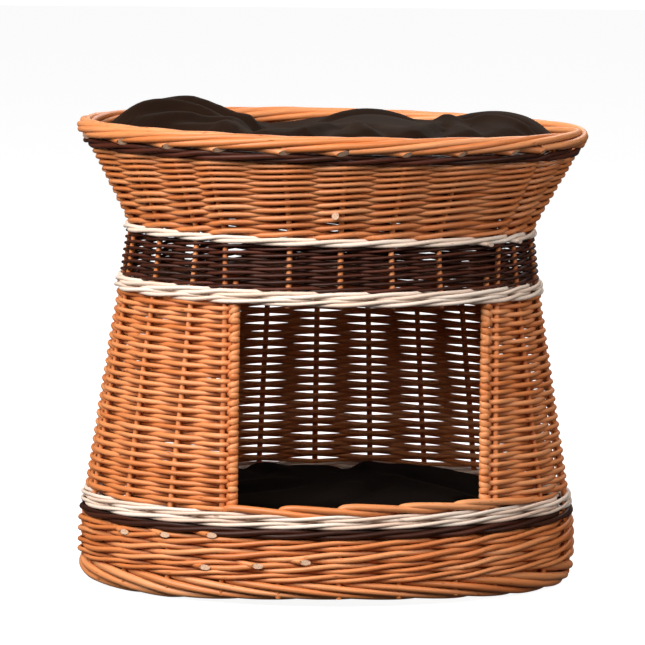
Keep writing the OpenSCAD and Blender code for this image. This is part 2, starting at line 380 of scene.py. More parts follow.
def willow(name, shades, cut_colour, streak, roughness, gloss=0.5):
    """A peeled rod: its own shade, slow changes along it, fine fibres, leaf scars, and pale cut ends."""
    material, tree, shader = nodes_of(name)
    grain = attribute(tree, "grain", "Vector")
    tone = attribute(tree, "tone", "Fac")
    cut = attribute(tree, "cut", "Fac")
    slow = noise(tree, mapped(tree, grain, (9, 60, 60)), 1.0, 2)
    shade = maths(tree, "ADD", maths(tree, "MULTIPLY", tone, 0.62), maths(tree, "MULTIPLY", slow, 0.55))
    shade = maths(tree, "SUBTRACT", shade, 0.08, clamp=True)
    colour = ramp(tree, shade, [(i / (len(shades) - 1), c) for i, c in enumerate(shades)])
    fibres = noise(tree, mapped(tree, grain, (35, 900, 900)), 1.0, 3, 0.6)
    fibre_dark = ramp(tree, fibres, [(0.32, (1 - streak,) * 3), (0.62, (1, 1, 1))])
    colour = mix(tree, 1.0, colour, fibre_dark, "MULTIPLY")
    spots = noise(tree, mapped(tree, grain, (70, 260, 260)), 1.0, 1)
    scars = ramp(tree, spots, [(0.70, (0, 0, 0)), (0.78, (1, 1, 1))])
    scarred = mix(tree, 1.0, colour, (0.45, 0.36, 0.32), "MULTIPLY")
    colour = mix(tree, maths(tree, "MULTIPLY", scars, 0.75), colour, scarred)
    pith = noise(tree, mapped(tree, grain, (900, 900, 900)), 1.0, 2)
    end = mix(tree, ramp(tree, pith, [(0.4, (0, 0, 0)), (0.7, (1, 1, 1))]), cut_colour,
              tuple(c * 0.6 for c in cut_colour))
    is_cut = ramp(tree, cut, [(0.3, (0, 0, 0)), (0.5, (1, 1, 1))])
    tree.links.new(mix(tree, is_cut, colour, end), shader.inputs["Base Color"])
    rough = add(tree, "ShaderNodeMapRange")
    rough.inputs["To Min"].default_value = roughness - 0.07
    rough.inputs["To Max"].default_value = roughness + 0.13
    tree.links.new(slow, rough.inputs["Value"])
    tree.links.new(rough.outputs["Result"], shader.inputs["Roughness"])
    shader.inputs["Specular IOR Level"].default_value = gloss
    bump = add(tree, "ShaderNodeBump")
    bump.inputs["Strength"].default_value = 0.35
    bump.inputs["Distance"].default_value = 0.0003
    relief = maths(tree, "SUBTRACT", fibres, maths(tree, "MULTIPLY", scars, 0.6))
    tree.links.new(relief, bump.inputs["Height"])
    tree.links.new(bump.outputs["Normal"], shader.inputs["Normal"])
    return material


BUFF = willow("buff_willow_rods", [(0.50, 0.130, 0.032), (0.64, 0.195, 0.052), (0.73, 0.262, 0.090),
                                   (0.80, 0.352, 0.150)], (0.78, 0.50, 0.33), 0.24, 0.42, 0.42)
STICK = willow("willow_stakes", [(0.46, 0.12, 0.03), (0.60, 0.185, 0.05), (0.73, 0.270, 0.096)],
               (0.78, 0.50, 0.33), 0.26, 0.42, 0.42)
WHITE = willow("white_willow_rods", [(0.68, 0.45, 0.33), (0.77, 0.60, 0.48), (0.82, 0.70, 0.60)],
               (0.78, 0.58, 0.43), 0.14, 0.5, 0.25)
DARK = willow("dark_willow_rods", [(0.026, 0.0070, 0.0030), (0.050, 0.0130, 0.0060), (0.125, 0.028, 0.013)],
              (0.16, 0.06, 0.035), 0.3, 0.42, 0.2)


# ---------------------------------------------------------------- weaves
STEPS = 8


def tapered(n, thick, taper):
    """A rod's radius from one end to the other."""
    ends = (1 + taper, 1 - taper) if RNG.uniform() < 0.5 else (1 - taper, 1 + taper)
    return thick * np.linspace(ends[0], ends[1], n) * RNG.uniform(0.93, 1.07)


def wave(beat, sharp):
    """1 at the even beats and -1 at the odd ones. A sharp wave runs straight from one to the next."""
    return np.arcsin(sharp * np.cos(math.pi * beat)) / math.asin(sharp)


def plain_rows(bundle, low, high, rows, thick, twist, crowding=0.0, loose=0.0003):
    """Weaving in pairs right round the oval: a pair's two rods change sides between the stakes, and cross
    one over the other there. thick is the rods' radius at the bottom and at the top. crowding packs the
    upper rows closer."""
    climb = np.linspace(low, high, 400)
    run = np.concatenate([[0], np.cumsum(np.hypot(np.diff(climb), np.diff(wall_width(climb))))])
    share = np.linspace(0, 1, rows + 1)
    edges = run[-1] * ((1 + crowding) * share - crowding * share**2)
    for row in range(rows):
        step = edges[row + 1] - edges[row]
        start = 2 * RNG.integers(0, STAKES // 2) + (row + 1) % 2
        beat = np.linspace(start, start + STAKES, STAKES * STEPS + 1)
        side = wave(beat + row, 0.9)
        climbing = twist * step * np.sin(math.pi * (beat + row)) * (1 + wander(beat, 0.12, 9))
        level = edges[row + 1 - row % 2] + climbing - 0.0006 * (1 - side) + wander(beat, loose, 7)
        z = np.interp(level, run, climb)
        rod = thick[0] + (thick[1] - thick[0]) * row / rows
        ends = np.minimum(beat - beat[0], beat[-1] - beat)
        depth = side * (MID - rod) * (1 + wander(beat, 0.05, 5)) - 0.0012 * np.exp(-ends * 3)
        z = z + 0.35 * rod * np.where(beat < beat.mean(), 1, -1) * np.exp(-ends * 2)
        path, facing = wall_point(turn_of(beat, z.mean()), z, depth)
        bundle.rod(path, facing, tapered(len(beat), rod, 0.09))


def wale_row(bundle, z_middle, thick, proud=0.0, shift=0, bulge=0.75, spread=1.2, loose=0.0004):
    """Three rods twined together: each passes in front of two stakes and behind one, and climbs on the
    way. Each follows on from another after a round, so one line goes round three times. A low bulge
    keeps the rods close to the outside for longer, and spread sets how far apart they lie."""
    parts = 4
    share = 3 * STAKES / parts
    first = 2.0 - shift + 3 * RNG.integers(0, 7)
    for part in range(parts):
        begin = first + part * share // 3 * 3
        last = (part + 1) * share // 3 * 3 if part + 1 < parts else 3 * STAKES
        finish = first + last + 0.5
        beat = np.linspace(begin, finish, int((finish - begin) * STEPS))
        phase = (beat + 0.5 + shift) % 3
        front = phase < 2
        swing = np.where(front, np.sin(np.clip(phase, 0, 2) * math.pi / 2) ** bulge,
                         -np.sin((phase - 2) * math.pi))
        rise = np.where(front, -np.cos(np.clip(phase - 0.4, 0, 1.2) / 1.2 * math.pi),
                        np.cos((phase - 2) * math.pi))
        z = z_middle + rise * spread * thick + wander(beat, loose, 11)
        reach = np.where(swing > 0, MID - thick + proud, STAKE_R + thick) * (1 + wander(beat, 0.05, 7))
        path, facing = wall_point(turn_of(beat, z_middle), z, swing * reach)
        bundle.rod(path, facing, tapered(len(beat), thick, 0.08))


def smooth_line(knots, count):
    """A smooth curve through knots, as columns."""
    knots = np.asarray(knots, float)
    u = np.linspace(0, len(knots) - 1, count)
    i = np.clip(u.astype(int), 0, len(knots) - 2)
    f = (u - i)[:, None]
    slope = np.gradient(knots, axis=0)
    from_here = knots[i] * (2 * f**3 - 3 * f**2 + 1) + slope[i] * (f**3 - 2 * f**2 + f)
    return from_here + knots[i + 1] * (3 * f**2 - 2 * f**3) + slope[i + 1] * (f**3 - f**2)


def stake_border(bundle, stakes, half_w, thick, knots, loose=0.0004, lower=()):
    """Each stake is bent over and laid along the edge. knots are [beats on, distance out, height].
    lower lists how much lower the first ones lie."""
    for number, k in enumerate(stakes):
        line = smooth_line(knots, len(knots) * 6)
        line[:, 2] -= lower[number] if number < len(lower) else 0
        turn = stake_turn(k, line[0, 2]) + line[:, 0]
        spread = np.minimum(1, line[:, 0] * 3)
        z = line[:, 2] + wander(turn, loose, 3) * spread
        out = line[:, 1] + wander(turn, loose, 2) * spread
        flat, normal = outline(turn, half_w + out)
        path = np.concatenate([flat, z[:, None]], 1)
        facing = np.concatenate([normal, np.full((len(z), 1), 0.25)], 1)
        bundle.rod(path, facing, tapered(len(z), thick, 0.04))


# ---------------------------------------------------------------- the pieces
def foot_border():
    bundle = Bundle("foot_border_rods", "foot_border", "buff_willow", BUFF, 12)
    knots = [(0, -0.0060, 0.040), (0, -0.0045, 0.032), (0.06, -0.0015, 0.0268), (0.25, 0.0020, 0.0252),
             (0.7, 0.0046, 0.0216), (1.2, 0.0048, 0.0170), (1.7, 0.0034, 0.0124), (2.2, 0.0010, 0.0084),
             (2.7, -0.0030, 0.0058), (3.2, -0.0075, 0.0055), (3.6, -0.0095, 0.0095)]
    stake_border(bundle, range(STAKES), BASE_W - 0.0085, 0.0045, knots, 0.0003)
    turn = np.linspace(0, STAKES, STAKES * STEPS + 1)[:-1]
    for inset, z, radius in ((0.0145, 0.0250, 0.0038), (0.0155, 0.0172, 0.0048)):
        flat, normal = outline(turn, BASE_W - inset)
        level = np.full((len(turn), 1), z)
        path, facing = (np.concatenate(pair, 1) for pair in ((flat, level), (normal, level * 0)))
        bundle.rod(path, facing, radius, closed=True)
    # The front middle of the foot is pressed thinner than the rest
    for verts in bundle.verts:
        front = (1 - (verts[:, 0] - 0.02) ** 2 / 0.035).clip(0) * (verts[:, 1] < 0)
        verts[:, 2] += (Z_FOOT - verts[:, 2]).clip(0) * 0.27 * front
    return bundle.build()


def butt(bundle, x, z, thick, low=0.0035):
    """The thick end of a rod that was let in here: it comes from behind, out between the others."""
    u = np.linspace(0, 1, 10)
    turn = turn_at(x, z) + (u - 1) * 0.5
    depth = -0.002 + (MID + 0.0052) * u**0.8
    path, facing = wall_point(turn, z + low * (1 - u) ** 1.3, depth)
    bundle.rod(path, facing, np.full(10, thick), looks=(None, facing[-1]), slant=1.9)


def base_wale():
    bundle = Bundle("base_wale_rods", "base_wale", "buff_willow", BUFF, 10)
    thicks = (0.0024, 0.0028, 0.0031, 0.0028)
    scale = (Z_WALE - Z_FOOT) / (4 * sum(thicks))
    z = Z_FOOT
    for row, thick in enumerate(thicks):
        wale_row(bundle, z + 2 * thick * scale - 0.0005, thick, 0.0024, (2 * row) % 3)
        z += 4 * thick * scale
    for x, z in ((-0.1237, 0.0400), (-0.0695, 0.0448), (-0.0210, 0.0503),
                 (-0.2085, 0.0675), (-0.1655, 0.0705), (-0.1170, 0.0745)):
        butt(bundle, x, z, 0.0030)
    return bundle.build()


def ring_band(name, node, slot, material, low, high, rows, proud, thick=None, butts=(), bulge=0.45):
    bundle = Bundle(name, node, slot, material, 10)
    step = (high - low) / rows
    for row in range(rows):
        wale_row(bundle, low + (row + 0.5) * step, thick or step / 4, proud, row, bulge, 1.0)
    for x, z in butts:
        butt(bundle, x, z, thick or step / 4, 0.005)
    return bundle.build()


def stakes():
    full = Bundle("wall_stake_rods", "wall_stakes", "willow_stick", STICK)
    short = Bundle("door_stake_rods", "door_stakes", "willow_stick", STICK)
    for k in range(STAKES):
        spans = [(0.010, Z_RIM_DARK + 0.006)]
        bundle = full
        if k in (0, 1, 2, STAKES - 1):
            spans = [(0.010, Z_BASE_WHITE + 0.004), (Z_DEN - 0.003, Z_RIM_DARK + 0.006)]
            bundle = short
        for low, high in spans:
            z = np.linspace(low, high, max(4, int((high - low) / 0.008)))
            turn = np.array([stake_turn(k, height) for height in z]) + wander(z, 0.010, 0.3)
            path, facing = wall_point(turn, z, STAKE_OUT)
            bundle.rod(path, facing, np.linspace(1.05, 0.95, len(z)) * STAKE_R)
    full.build()
    # A short length of a let-in stake shows beside one of them at the waist
    z = np.linspace(0.3555, 0.3560, 6)
    turn = turn_at(-0.137, z) - np.linspace(0, 0.12, 6)
    path, facing = wall_point(turn, z, np.linspace(0.001, 0.0055, 6))
    short.rod(path, facing, np.full(6, 0.0022), looks=(None, facing[-1]))
    short.build()


def post_turn(side, z):
    return turn_at(POST_X[side], z) + (STAKES if side == "left" else 0)


def jamb_posts():
    for side in POST_X:
        bundle = Bundle(f"door_post_{side}_rod", f"door_post_{side}", "willow_stick", STICK)
        z = np.linspace(Z_BASE_DARK + 0.003, Z_LINTEL + 0.012, 30)
        path, facing = wall_point(post_turn(side, z), z, np.zeros(len(z)))
        bundle.rod(path, facing, np.full(len(z), POST_R))
        bundle.build()


DEN_ROWS = 46
DEN_ROD = 0.0027
DEN_STEP = (Z_DEN - Z_BASE_WHITE) / DEN_ROWS
# Rods lie flat where they turn round a post, and every third coil on it is a spare one
COIL_STEP = 0.0065
COIL_R = 0.0033
COIL_FLAT = 0.36
COIL_SHIFT = {"right": 0.9, "left": 1.6}


def coil_height(side, number):
    return np.clip(Z_BASE_WHITE + (number + COIL_SHIFT[side]) * COIL_STEP, 0, Z_DEN - 0.003)


def coil(side, z, angle):
    """Round a jamb post: angle 0 is outside the wall, and a quarter turn on it faces the doorway."""
    centre, facing = wall_point(post_turn(side, z), z, np.zeros(len(z)))
    sideways = np.cross(facing, np.array([0, 0, -1.0])) * (1 if side == "left" else -1)
    sideways /= np.linalg.norm(sideways, axis=1, keepdims=True)
    away = facing * np.cos(angle)[:, None] + sideways * np.sin(angle)[:, None]
    return centre + away * (POST_R + COIL_R * COIL_FLAT), away


def den_row(row):
    """A row from the right jamb round the back to the left jamb, with its half of the turn at each post."""
    level = Z_BASE_WHITE + (row + 0.5) * DEN_STEP
    beat = np.linspace(RIGHT_BEAT, LEFT_BEAT, (LEFT_BEAT - RIGHT_BEAT) * STEPS + 1)
    side = wave(beat + row, 0.9)
    known = np.arange(RIGHT_BEAT, LEFT_BEAT + 1)
    turns = [stake_turn(int(k), level) for k in known]
    turns[0], turns[-1] = post_turn("right", level), post_turn("left", level)
    turn = np.interp(beat, known, turns)
    near = {"right": np.exp(-(beat - RIGHT_BEAT) * 2.2), "left": np.exp(-(LEFT_BEAT - beat) * 2.2)}
    wrapped = near["right"] + near["left"]
    behind_open = np.clip(1.25 - np.abs(beat - 11.5) / 5, 0, 1)
    sway = -0.10 - 0.14 * behind_open
    z = level - sway * DEN_STEP * wave(beat + row, 0.985) * (1 - wrapped) + wander(beat, 0.0004, 8)
    reach = (MID - DEN_ROD) * (1 - wrapped) + (POST_R + COIL_R * COIL_FLAT) * wrapped
    reach = reach * (1 + wander(beat, 0.05, 5) * (1 - wrapped))
    arcs = {}
    for post, beat_there, first in (("right", RIGHT_BEAT, 0), ("left", LEFT_BEAT, 1)):
        pair = (row - first) // 2
        alone = row < first or row - first + 1 > DEN_ROWS - 1 and (row - first) % 2 == 0
        middle = level if alone else coil_height(post, pair + pair // 2)
        end = middle + (0 if alone else COIL_STEP * (0.22 if (row - first) % 2 else -0.22))
        z = z + near[post] * (end - level)
        outside = math.cos(math.pi * (beat_there + row)) > 0
        angle = np.radians(np.linspace(0 if outside else 180, 90, 7))
        heights = np.linspace(end, middle, 7)
        arcs[post] = coil(post, heights, angle)
    path, facing = wall_point(turn, z, side * reach)
    path = np.concatenate([arcs["right"][0][:0:-1], path, arcs["left"][0][1:]])
    facing = np.concatenate([arcs["right"][1][:0:-1], facing, arcs["left"][1][1:]])
    wrapped = np.pad(wrapped, 6, constant_values=1)
    depth = np.pad(side * reach, 6, constant_values=1)
    return path, facing, np.minimum(wrapped, 1), depth


def den_wall():
    bundle = Bundle("den_wall_rods", "den_wall", "buff_willow", BUFF)
    rows = []
    for row in range(DEN_ROWS):
        rows.append([v[::-1] if row % 2 == 0 else v for v in den_row(row)])
    path, facing, wrapped, depth = (np.concatenate(v) for v in zip(*rows))
    start = 0
    while start < len(path) - 4:
        finish = min(start + int(len(rows[0][0]) * RNG.uniform(0.8, 1.2)), len(path) - 1)
        if finish < len(path) - 2 * STEPS:
            finish = finish - STEPS + int(np.argmin(depth[finish - STEPS:finish + STEPS]))
        else:
            finish = len(path) - 1
        part = slice(start, finish + 1)
        w = wrapped[part]
        radius = tapered(len(w), DEN_ROD, 0.08) * (1 - w) + COIL_R * w
        bundle.rod(path[part], facing[part], radius, 1 - w * (1 - COIL_FLAT))
        start = finish - 2 if finish < len(path) - 1 else finish
    for post in POST_X:
        for number in range(-1, 33, 3):
            angle = np.linspace(0, TAU, 21)[:-1]
            ring, away = coil(post, coil_height(post, number) + 0.0004 * np.cos(angle), angle)
            bundle.rod(ring, away, np.full(20, COIL_R), COIL_FLAT, closed=True)
    return bundle.build()


def sill_border():
    bundle = Bundle("sill_border_rods", "door_sill_border", "buff_willow", BUFF, 12)
    knots = [(0, -0.0050, 0.092), (0.0, -0.0045, 0.1005), (0.06, -0.0020, 0.1058), (0.25, 0.0004, 0.1076),
             (0.6, 0.0012, 0.1068), (1.0, 0.0012, 0.1050), (1.4, 0.0004, 0.1030), (1.8, -0.0030, 0.1022),
             (2.1, -0.0085, 0.1022)]
    first_lower = (0.0042, 0.0018)
    stake_border(bundle, (-2, -1, 0, 1, 2), BASE_W - 0.0076, 0.0038, knots, 0.0002, first_lower)
    return bundle.build()


def rim_border():
    """From each stake a rod comes out under the edge, climbs over it to the inside, and comes out
    again below, where it is cut off."""
    bundle = Bundle("rim_border_rods", "rim_border", "buff_willow", BUFF, 10)
    thick, reach = 0.0037, 6.0
    ring_r = (Z_RIM - Z_RIM_DARK) / 2
    for k in range(STAKES):
        u = np.linspace(0, 1, 72)
        turn = stake_turn(k, Z_RIM_DARK) + u * reach + RNG.uniform(-0.06, 0.06)
        angle = np.radians(-62 + 336 * u)
        tip = np.clip((u - 0.92) / 0.08, 0, 1)
        out = (ring_r - thick) * np.cos(angle) + wander(turn, 0.0005, 3) + 0.0045 * tip
        up = (ring_r - thick) * np.sin(angle) + wander(turn, 0.0006, 3) - 0.0022 * tip
        flat, normal = outline(turn, RIM_W - ring_r + out)
        path = np.concatenate([flat, (Z_RIM_DARK + ring_r + up)[:, None]], 1)
        facing = np.concatenate([normal * np.cos(angle)[:, None], np.sin(angle)[:, None]], 1)
        look = np.append(normal[-1] * 0.75, -0.65)
        bundle.rod(path, facing, tapered(72, thick, 0.06), looks=(None, look), slant=2.0)
    return bundle.build()


def plain_band(name, node, slot, material, low, high, rows, thick, twist, crowding=0.0):
    bundle = Bundle(name, node, slot, material)
    plain_rows(bundle, low, high, rows, thick, twist, crowding)
    return bundle.build()


# ---------------------------------------------------------------- floors
RING_POINTS = 480
# The stick whose end shows in the front wall is this much thicker than the others
THROUGH_STICK = 1.35


def mat_and_sticks(mat, sticks, z, half_w, xs, ys, through=None):
    """An oval woven floor: sticks both ways, and rods going round them, over and under."""
    rod_r, stick_r, pitch = 0.0020, 0.0030, 0.0058
    grid = []
    for x in xs:
        y = math.sqrt((half_w + LONG_GAIN) ** 2 - x * x) - LONG_Y - 0.003
        grid.append(((x, -y), (x, y)))
    for y in ys:
        x = END_X + math.sqrt((half_w - END_X) ** 2 - y * y) - 0.003
        grid.append(((-x, y), (x, y)))
    if through:
        x, y = through
        grid.append(((x, -y), (x, y)))
    for (x0, y0), (x1, y1) in grid:
        n = 24
        line = np.stack([np.linspace(x0, x1, n), np.linspace(y0, y1, n), np.full(n, z)], 1)
        thick = stick_r * (THROUGH_STICK if through and x0 == through[0] else 1)
        sticks.rod(line, np.tile([0, 0, 1.0], (n, 1)), np.full(n, thick))
    rings = int((half_w - 0.012) / pitch)
    turns = np.linspace(0, STAKES, RING_POINTS + 1)[:-1]
    edge, _ = outline(turns, half_w - rod_r)
    for ring in range(rings):
        scale = 1 - ring * pitch / half_w
        loop = edge * scale
        crossings = []
        for x in xs:
            flips = np.nonzero((loop[:, 0] - x) * (np.roll(loop[:, 0], -1) - x) < 0)[0]
            crossings += list(flips + 0.5)
        for y in ys:
            flips = np.nonzero((loop[:, 1] - y) * (np.roll(loop[:, 1], -1) - y) < 0)[0]
            crossings += list(flips + 0.5)
        crossings = np.sort(crossings)
        if len(crossings) < 4:
            break
        places = np.concatenate([[crossings[-1] - RING_POINTS], crossings, [crossings[0] + RING_POINTS]])
        beat = np.interp(np.arange(RING_POINTS), places, np.arange(-1, len(crossings) + 1))
        height = np.cos(math.pi * (beat + ring)) * (stick_r + rod_r * 0.6)
        path = np.concatenate([loop, (z + height)[:, None]], 1)[::2]
        radius = np.full(len(path), rod_r * RNG.uniform(0.95, 1.08))
        mat.rod(path, np.tile([0, 0, 1.0], (len(path), 1)), radius, closed=True)
    mat.build()
    sticks.build()


def floors():
    lowest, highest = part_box("floor_mat")
    mat_and_sticks(Bundle("floor_mat_rods", "floor_mat", "buff_willow", BUFF, 6),
                   Bundle("floor_stick_rods", "floor_sticks", "willow_stick", STICK),
                   (lowest[2] + highest[2]) / 2, highest[0], [-0.15, -0.09, -0.03, 0.03, 0.09, 0.15],
                   [-0.036, 0, 0.036])
    lowest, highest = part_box("bed_floor_mat")
    z = (lowest[2] + highest[2]) / 2
    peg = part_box("bed_floor_sticks")[1][1] + 0.0015
    mat_and_sticks(Bundle("bed_floor_mat_rods", "bed_floor_mat", "buff_willow", BUFF, 6),
                   Bundle("bed_floor_stick_rods", "bed_floor_sticks", "willow_stick", STICK),
                   z, highest[0], [-0.12, -0.06, 0.06, 0.12], [-0.03, 0.03], through=(0.005, peg))


# ---------------------------------------------------------------- cushions
def fabric(name, dark, light, sheen, gloss):
    material, tree, shader = nodes_of(name)
    place = add(tree, "ShaderNodeTexCoord").outputs["Object"]
    slow = noise(tree, place, 14, 3)
    colour = ramp(tree, slow, [(0.3, dark), (0.7, light)])
    weave = noise(tree, place, 900, 2, 0.7)
    threads = ramp(tree, weave, [(0.3, (0.75,) * 3), (0.7, (1.2,) * 3)])
    colour = mix(tree, 1.0, colour, threads, "MULTIPLY")
    tree.links.new(colour, shader.inputs["Base Color"])
    shader.inputs["Roughness"].default_value = 0.88
    shader.inputs["Sheen Weight"].default_value = sheen
    shader.inputs["Sheen Roughness"].default_value = 0.5
    shader.inputs["Sheen Tint"].default_value = (0.55, 0.38, 0.28, 1)
    shader.inputs["Specular IOR Level"].default_value = gloss
    bump = add(tree, "ShaderNodeBump")
    bump.inputs["Strength"].default_value = 0.3
    bump.inputs["Distance"].default_value = 0.0006
    tree.links.new(weave, bump.inputs["Height"])
    tree.links.new(bump.outputs["Normal"], shader.inputs["Normal"])
    return material


FABRIC = {
    "bed_cushion": fabric("bed_cushion_fabric", (0.0090, 0.0040, 0.0020), (0.0150, 0.0066, 0.0033),
                          0.045, 0.04),
    # The den cushion is probably the same cloth as the bed cushion; its far darker colours and lower sheen
    # are painted shade, for the shadow inside the den
    "den_cushion": fabric("den_cushion_fabric", (0.0012, 0.0006, 0.0004), (0.0024, 0.0012, 0.0007),
                          0.015, 0.03)}


def cushion_start(foot_z, foot_w, side_z, side_w, top_z, swell):
    """A plump oval cushion as rings from the middle of its underside to the middle of its top."""
    turns = np.linspace(0, STAKES, 161)[:-1]
    edge, _ = outline(turns, side_w)
    rings = []
    for share in np.linspace(0.08, 1, 12):
        rings.append((share * foot_w / side_w, np.full(len(turns), foot_z)))
    for lift in (0.25, 0.5, 0.75, 1.0):
        width = foot_w + (side_w - foot_w) * lift**0.6
        rings.append((width / side_w, np.full(len(turns), foot_z + (side_z - foot_z) * lift)))
    for share in np.linspace(0.985, 0.06, 26):
        x, y = edge[:, 0] * share, edge[:, 1] * share
        rings.append((share, side_z + (top_z + swell(x, y) - side_z) * (1 - share**7)))
    verts = np.concatenate([np.column_stack([edge * share, z]) for share, z in rings])
    n = len(turns)
    faces = [(r * n + i, r * n + (i + 1) % n, (r + 1) * n + (i + 1) % n, (r + 1) * n + i)
             for r in range(len(rings) - 1) for i in range(n)]
    faces += [tuple(range(n))[::-1], tuple((len(rings) - 1) * n + i for i in range(n))]
    mesh = bpy.data.meshes.new("cushion_start")
    mesh.from_pydata(verts.tolist(), [], faces)
    return mesh


def with_modifiers(piece):
    """The mesh that a piece's modifiers make."""
    return bpy.data.meshes.new_from_object(piece.evaluated_get(bpy.context.evaluated_depsgraph_get()))


def points_of(mesh):
    points = np.empty(len(mesh.vertices) * 3)
    mesh.vertices.foreach_get("co", points)
    return points.reshape(-1, 3)


def coarser(mesh):
    """A quarter of the faces, for a surface that another one covers."""
    piece = bpy.data.objects.new("coarser", mesh)
    bpy.context.scene.collection.objects.link(piece)
    fewer = piece.modifiers.new("fewer", "DECIMATE")
    fewer.ratio = 0.25
    mesh = with_modifiers(piece)
    bpy.data.objects.remove(piece)
    return mesh


def keep_inside(points, floor_z, limits):
    """Holds a cushion over its floor and inside the wicker round it."""
    points[:, 2] = np.maximum(points[:, 2], floor_z)
    width = oval_width(points[:, 0], points[:, 1])
    limit = np.interp(points[:, 2], *limits)
    points[:, :2] *= np.minimum(1, limit / np.maximum(width, 1e-6))[:, None]
    return points


def inflate(mesh, voxel, floor_z, limits, slack, cap):
    """Blows the cushion up as cloth that has a little more length than its shape, so that it creases."""
    piece = bpy.data.objects.new("cushion_cloth", mesh)
    bpy.context.scene.collection.objects.link(piece)
    remesh = piece.modifiers.new("remesh", "REMESH")
    remesh.mode, remesh.voxel_size = "VOXEL", voxel
    even = with_modifiers(piece)
    piece.modifiers.clear()
    piece.data = even
    start = points_of(even)
    cloth = piece.modifiers.new("cloth", "CLOTH")
    settings = cloth.settings
    settings.quality, settings.mass = 5, 0.3
    settings.use_pressure, settings.uniform_pressure_force = True, 4.0
    settings.effector_weights.gravity = 0
    settings.shrink_min = -slack
    settings.tension_stiffness = settings.compression_stiffness = 12
    settings.bending_stiffness = 0.6
    for number in range(1, 21):
        bpy.context.scene.frame_set(number)
    moved = points_of(with_modifiers(piece)) - start
    piece.modifiers.clear()
    bpy.context.scene.frame_set(1)
    length = np.linalg.norm(moved, axis=1, keepdims=True)
    start = start + moved * np.minimum(1, cap / np.maximum(length, 1e-9))
    even.vertices.foreach_set("co", keep_inside(start, floor_z, limits).reshape(-1))
    even.update()
    smooth = piece.modifiers.new("smooth", "SUBSURF")
    smooth.levels = smooth.render_levels = 1
    mesh = with_modifiers(piece)
    bpy.data.objects.remove(piece)
    mesh.polygons.foreach_set("use_smooth", np.ones(len(mesh.polygons), bool))
    return mesh


def cushion(body, mesh):
    """The cover, and the filling a little inside it. The bed cushion leans with the top of the basket."""
    points = points_of(mesh)
    if body == "bed_cushion":
        points = settle(points)
        mesh.vertices.foreach_set("co", points.reshape(-1))
    mesh.update()
    normals = np.empty(len(points) * 3)
    mesh.vertices.foreach_get("normal", normals)
    normals = normals.reshape(-1, 3)
    inner = mesh.copy()
    inner.vertices.foreach_set("co", (points - normals * 0.0030).reshape(-1))
    inner = coarser(inner)
    cover = show(body + "_fabric", mesh, FABRIC[body], body, "cushion_fabric", body + "_cover")
    show(body + "_fibre", inner, FIBRE, body, "fibre_filling", body + "_filling")


def bump_at(x, y, place, size, height):
    return height * np.exp(-((x - place[0]) / size[0]) ** 2 - ((y - place[1]) / size[1]) ** 2)


def crease(x, y, start, end, depth, width):
    """A fold along a line: a valley with a soft ridge on its left side."""
    dx, dy = end[0] - start[0], end[1] - start[1]
    length = math.hypot(dx, dy)
    along = ((x - start[0]) * dx + (y - start[1]) * dy) / length**2
    across = ((x - start[0]) * -dy + (y - start[1]) * dx) / length
    fade = np.exp(-np.clip(np.abs(along - 0.5) - 0.35, 0, None) ** 2 / 0.03)
    return fade * depth * (0.8 * np.exp(-((across - width) / width) ** 2) - np.exp(-(across / width) ** 2))


def bed_swell(x, y):
    swell = 0.0
    for place, size, height in (
            ((-0.186, 0.0), (0.082, 0.15), 0.038), ((-0.055, 0.09), (0.038, 0.13), -0.018),
            ((0.035, 0.02), (0.060, 0.13), 0.017), ((0.10, 0.10), (0.025, 0.10), -0.008),
            ((0.188, 0.02), (0.074, 0.13), 0.028), ((0.0, -0.13), (0.2, 0.05), 0.010)):
        swell = swell + bump_at(x, y, place, size, height)
    for start, end, depth, width in (
            ((-0.225, -0.05), (-0.12, -0.07), 0.012, 0.012), ((-0.20, -0.11), (-0.10, -0.09), 0.010, 0.011),
            ((-0.17, 0.02), (-0.06, -0.06), 0.012, 0.014), ((-0.10, -0.17), (-0.06, 0.02), 0.012, 0.013),
            ((-0.03, -0.19), (0.01, -0.09), 0.011, 0.011), ((0.06, -0.18), (0.03, -0.08), 0.010, 0.011),
            ((0.09, -0.18), (0.12, -0.03), 0.013, 0.012), ((0.16, -0.14), (0.13, 0.02), 0.010, 0.012),
            ((0.22, -0.05), (0.12, 0.02), 0.011, 0.012),
            ((-0.15, 0.14), (-0.05, 0.05), 0.009, 0.014),
            ((-0.02, 0.02), (0.10, 0.05), 0.007, 0.015)):
        swell = swell + crease(x, y, start, end, depth, width)
    return swell


def den_swell(x, y):
    swell = bump_at(x, y, (-0.08, 0.05), (0.09, 0.09), 0.006)
    swell = swell + bump_at(x, y, (0.09, 0.08), (0.07, 0.09), 0.008)
    for start, end in (((-0.15, -0.10), (-0.03, -0.02)), ((0.02, -0.16), (0.05, -0.02)),
                       ((0.17, -0.08), (0.08, 0.03)), ((-0.10, 0.15), (-0.06, 0.03)),
                       ((0.03, 0.17), (0.02, 0.06))):
        swell = swell + crease(x, y, start, end, 0.008, 0.014)
    return swell


def cushions():
    low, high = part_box("bed_cushion_cover")
    limits = ([low[2], 0.46, Z_BED, Z_RIM, Z_RIM + 0.012], [0.2185, 0.238, 0.2515, 0.2535, 0.258])
    start = cushion_start(low[2], 0.210, 0.482, 0.251, high[2] - 0.0485, bed_swell)
    mesh = inflate(start, 0.0048, low[2], limits, 0.05, 0.016)
    cushion("bed_cushion", mesh)
    low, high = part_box("den_cushion_cover")
    limits = ([low[2], high[2]], [high[0] + 0.001, high[0]])
    start = cushion_start(low[2], 0.232, low[2] + 0.044, 0.238, high[2] - 0.006, den_swell)
    mesh = inflate(start, 0.006, low[2], limits, 0.04, 0.016)
    cushion("den_cushion", mesh)


